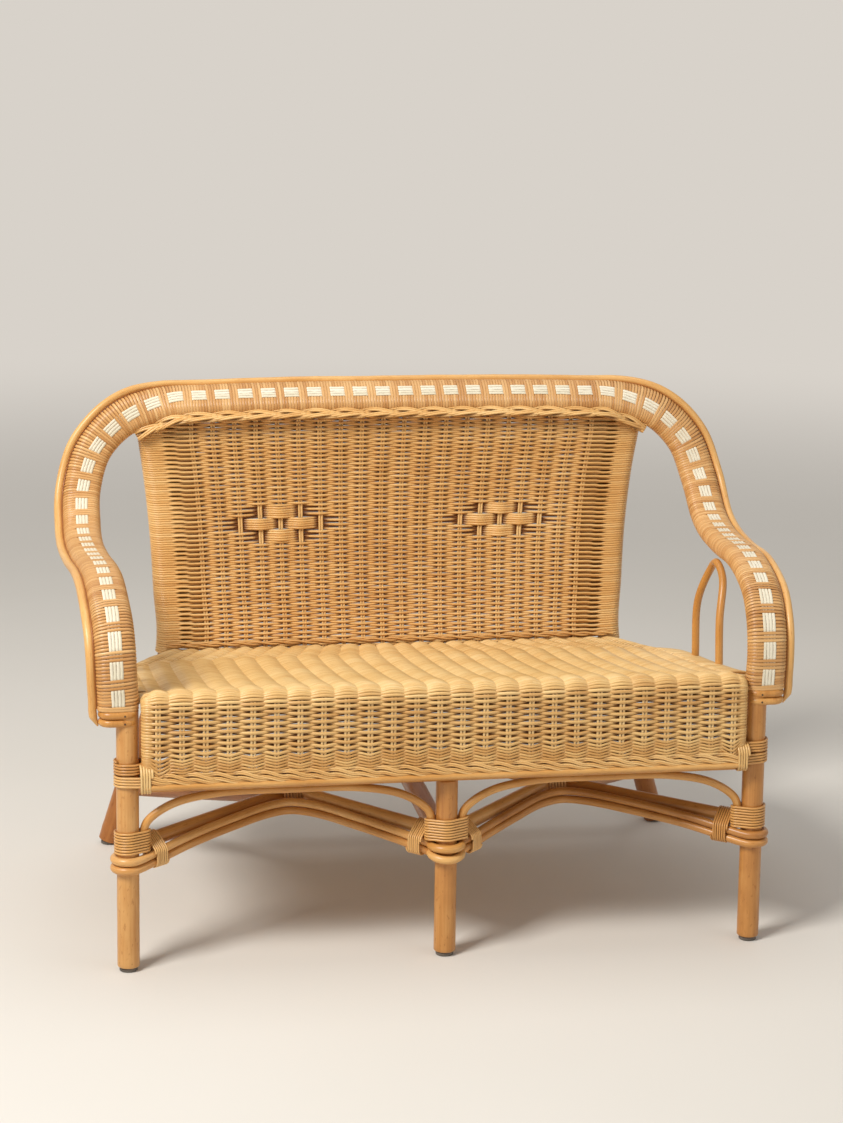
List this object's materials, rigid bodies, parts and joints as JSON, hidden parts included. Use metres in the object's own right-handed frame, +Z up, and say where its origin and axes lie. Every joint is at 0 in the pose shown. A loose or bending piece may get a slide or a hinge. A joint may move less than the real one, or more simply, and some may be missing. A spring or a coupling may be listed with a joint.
{
  "type": "rattan garden sofa",
  "caption": "Low rattan sofa with a woven seat and back panel, a wide cane-wound rim that forms the arms, splayed rear legs and bent-cane braces.",
  "frame": {"origin": "on the floor, under the middle of the sofa's bounding box", "axes": "+X along the sofa to the right as seen by someone facing it, +Y towards the back, +Z up"},
  "size_m": [1.0946, 0.6052, 0.7715],
  "materials": {
    "rattan_pole": "satin varnished rattan pole",
    "dark_pole": "satin varnished rattan pole, darker",
    "natural_cane": "satin varnished thin cane",
    "cane_winding": "satin flat cane wound side by side",
    "seat_weave": "satin round-core weave over doubled stakes",
    "back_weave": "satin round-core weave over doubled stakes",
    "white_cane": "satin pale flat cane",
    "glide": "matte grey glide"
  },
  "bodies": {
    "root": {"front_leg_left": "rattan_pole", "front_leg_middle": "rattan_pole", "front_leg_right": "rattan_pole", "rear_leg_left": "dark_pole", "rear_leg_right": "dark_pole", "foot_glide_front_left": "glide", "foot_glide_front_middle": "glide", "foot_glide_front_right": "glide", "foot_glide_rear_left": "glide", "foot_glide_rear_right": "glide", "rim_band_left": "cane_winding", "rim_band_top": "cane_winding", "rim_band_right": "cane_winding", "white_strip_left": "white_cane", "white_strip_top": "white_cane", "white_strip_right": "white_cane", "rim_outer_cane": "natural_cane", "back_top_braid": "back_weave", "collar_roll_upper_left": "natural_cane", "collar_roll_lower_left": "natural_cane", "collar_roll_upper_right": "natural_cane", "collar_roll_lower_right": "natural_cane", "seat_weave": "seat_weave", "seat_side_rail_left": "rattan_pole", "seat_side_rail_right": "rattan_pole", "seat_front_top_rail": "rattan_pole", "seat_front_bottom_rail": "rattan_pole", "seat_rear_rail": "rattan_pole", "seat_front_braid": "seat_weave", "back_weave": "back_weave", "hairpin_support_left": "natural_cane", "hairpin_support_right": "natural_cane", "rear_stretcher": "dark_pole", "center_stretcher": "dark_pole", "diagonal_stretcher_left": "dark_pole", "diagonal_stretcher_right": "dark_pole", "short_stretcher_left": "dark_pole", "short_stretcher_right": "dark_pole", "rear_diagonal_left": "dark_pole", "rear_diagonal_right": "dark_pole", "bent_cane_upper_left": "natural_cane", "bent_cane_lower_left": "natural_cane", "bent_cane_upper_right": "natural_cane", "bent_cane_lower_right": "natural_cane", "middle_leg_ring_upper": "natural_cane", "middle_leg_ring_lower": "natural_cane", "front_brace_left": "natural_cane", "front_brace_right": "natural_cane", "joint_winding_left": "cane_winding", "joint_winding_middle": "cane_winding", "joint_winding_right": "cane_winding", "corner_winding_left": "cane_winding", "corner_winding_right": "cane_winding", "crossing_winding_left": "cane_winding", "crossing_winding_right": "cane_winding", "side_winding_outer_left": "cane_winding", "side_winding_outer_right": "cane_winding", "side_winding_inner_left": "cane_winding", "side_winding_inner_right": "cane_winding"}
  },
  "joints": []
}
